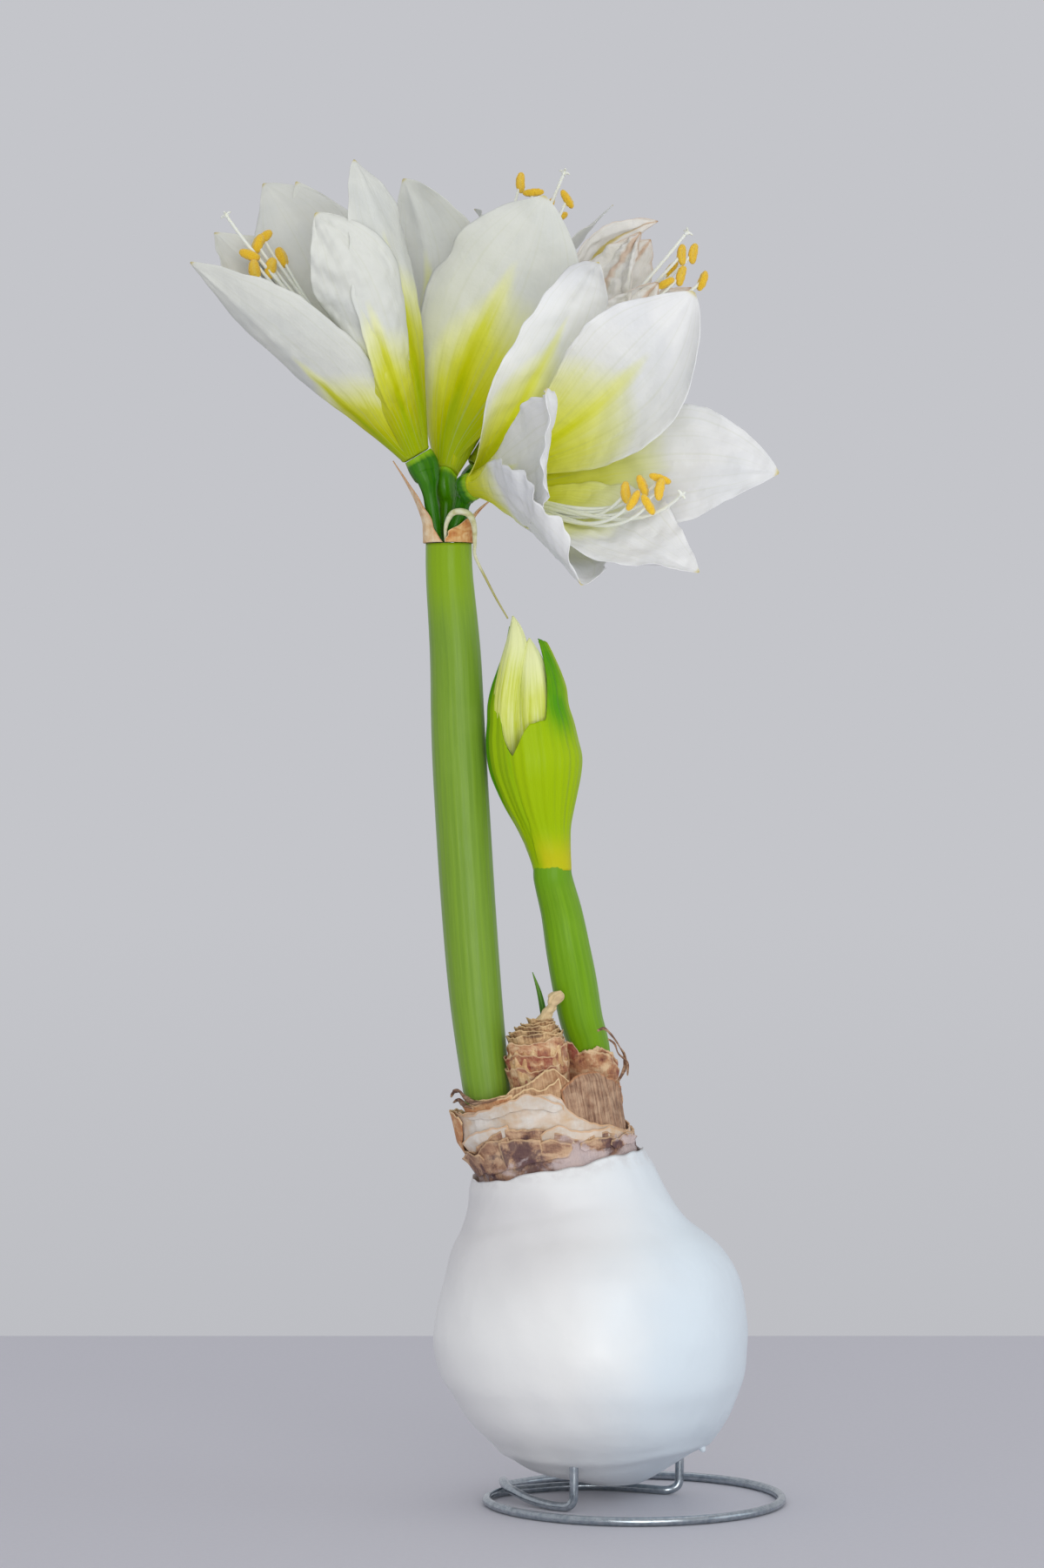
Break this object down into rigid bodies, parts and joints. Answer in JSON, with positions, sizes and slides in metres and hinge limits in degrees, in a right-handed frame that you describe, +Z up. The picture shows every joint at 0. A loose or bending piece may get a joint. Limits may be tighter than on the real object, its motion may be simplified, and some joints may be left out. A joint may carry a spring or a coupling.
{
  "type": "white amaryllis in waxed bulb on wire stand",
  "caption": "Flowering amaryllis growing from a wax-coated bulb that stands on a bent wire ring, with open white blooms and a closed bud.",
  "frame": {"origin": "middle of the bottom of the bounding box, on the surface the wire ring stands on", "axes": "+Z up along the stems, +Y away from the pictured side, +X to the right in the picture"},
  "size_m": [0.196, 0.2002, 0.452],
  "materials": {
    "wire": "galvanised, dull",
    "wax": "smooth white wax, softly glossy",
    "bulb_flesh": "plain",
    "dark_crust": "dry, dark brown",
    "pale_scale": "dry, papery",
    "brown_scale": "dry, ribbed",
    "dark_tip": "dry, dark",
    "old_leaf_base": "dry, ribbed",
    "leaf_green": "fresh green",
    "stem_green": "waxy green",
    "stalk_green": "fresh green",
    "sheath_green": "ribbed yellow green",
    "bud_green": "pale green",
    "dry_bract": "dry, papery",
    "bracteole": "thin, pale",
    "petal": "soft white, finely veined",
    "stamen": "white threads with yellow pollen heads"
  },
  "bodies": {
    "root": {"wire_stand": "wire", "wax_coat": "wax", "bulb": "bulb_flesh", "crust_band": "dark_crust", "pale_band": "pale_scale", "fibre_scale": "brown_scale", "middle_scale": "brown_scale", "back_scale": "brown_scale", "stem_flap": "brown_scale", "dry_curl_left": "dark_tip", "dry_curl_right": "dark_tip", "neck_nose": "old_leaf_base", "leaf_tip": "leaf_green", "tall_stem": "stem_green", "short_stem": "stem_green", "bract_left": "dry_bract", "bract_right": "dry_bract", "bracteole": "bracteole", "bud_sheath": "sheath_green", "bud_left": "bud_green", "bud_middle": "bud_green", "bud_back": "bud_green", "stalk_left": "stalk_green", "bloom_left": "petal", "stamens_left": "stamen", "stalk_back": "stalk_green", "bloom_back": "petal", "stamens_back": "stamen", "stalk_wilted": "stalk_green", "bloom_wilted": "petal", "stamens_wilted": "stamen", "stalk_right": "stalk_green", "bloom_right": "petal", "stamens_right": "stamen"}
  },
  "joints": []
}
